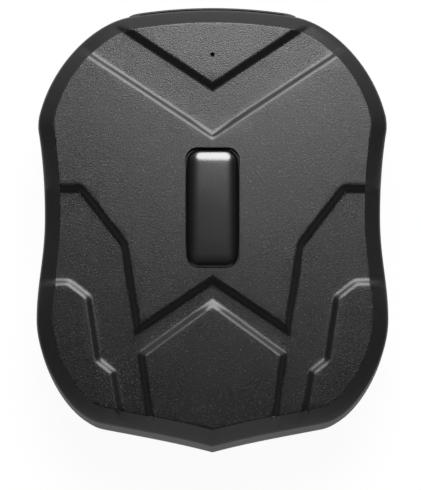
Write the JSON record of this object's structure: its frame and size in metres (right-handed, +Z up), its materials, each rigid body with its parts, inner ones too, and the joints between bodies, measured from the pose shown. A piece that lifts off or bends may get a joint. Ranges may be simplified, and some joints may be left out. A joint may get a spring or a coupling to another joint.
{
  "type": "gps tracker",
  "caption": "Waisted black vehicle tracker with a magnetic base, a bevelled rim, a relief panel with a bare badge, and a soft cover over its sockets.",
  "frame": {"origin": "middle of the magnetic base, on the surface that it stands on", "axes": "+X across, to the right; +Y along the body to the sockets' end; +Z up through the panel"},
  "size_m": [0.071, 0.09, 0.022],
  "materials": {
    "housing_plastic": "fine moulded grain, satin rim",
    "badge_gloss": "high gloss, domed",
    "cover_rubber": "soft matte",
    "seal_rubber": "soft matte",
    "screw_steel": "zinc plated",
    "magnet_nickel": "nickel plated",
    "board_laminate": "green solder mask",
    "module_laminate": "blue solder mask",
    "socket_steel": "tin plated",
    "black_polymer": "moulded",
    "card_white": "satin",
    "led_resin": "diffuse resin",
    "pipe_clear": "clear moulding",
    "capsule_metal": "bare",
    "can_tinplate": "tin plated",
    "antenna_ceramic": "fired, matte",
    "silver_film": "fired silver",
    "polyimide_film": "copper on polyimide",
    "contact_gold": "gold flashed",
    "passive_ceramic": "fired, with tinned ends",
    "pouch_foil": "laminated foil",
    "lead_red": "wire sleeve",
    "lead_black": "wire sleeve",
    "connector_nylon": "natural nylon",
    "pad_foam": "open foam"
  },
  "bodies": {
    "housing": {"top_cover": "housing_plastic", "bottom_shell": "housing_plastic", "badge_insert": "badge_gloss", "cover_tether": "cover_rubber", "perimeter_seal": "seal_rubber", "mic_boot": "seal_rubber", "housing_screws": "screw_steel", "board_screws": "screw_steel", "magnets": "magnet_nickel", "main_board": "board_laminate", "battery_protection_board": "board_laminate", "modem_module": "module_laminate", "inlet_shell": "socket_steel", "sim_socket": "socket_steel", "switch_housing": "socket_steel", "inlet_tongue": "black_polymer", "board_chips": "black_polymer", "shock_sensor": "black_polymer", "status_leds": "led_resin", "led_light_pipes": "pipe_clear", "microphone_capsule": "capsule_metal", "modem_shield_can": "can_tinplate", "gnss_shield_can": "can_tinplate", "patch_antenna_ceramic": "antenna_ceramic", "patch_antenna_electrode": "silver_film", "flex_antenna": "polyimide_film", "antenna_contacts": "contact_gold", "board_passives": "passive_ceramic", "battery_cell": "pouch_foil", "battery_lead_red": "lead_red", "battery_lead_black": "lead_black", "battery_plug": "connector_nylon", "battery_header": "connector_nylon", "battery_foam_pads": "pad_foam"},
    "port_cover": {"port_cover": "cover_rubber"},
    "switch_knob": {"switch_slider": "black_polymer"},
    "card": {"sim_card": "card_white"}
  },
  "joints": [
    {"name": "port_cover_hinge", "type": "hinge", "parent": "housing", "child": "port_cover", "pos_m": [0, 0.04445, 0.0094], "axis": [-1, 0, 0], "range_deg": [0, 110]},
    {"name": "power_switch_slide", "type": "slide", "parent": "housing", "child": "switch_knob", "axis": [1, 0, 0], "range_m": [0, 0.002]},
    {"name": "card_slide", "type": "slide", "parent": "housing", "child": "card", "axis": [0, 1, 0], "range_m": [-0.0006, 0.0015]}
  ]
}
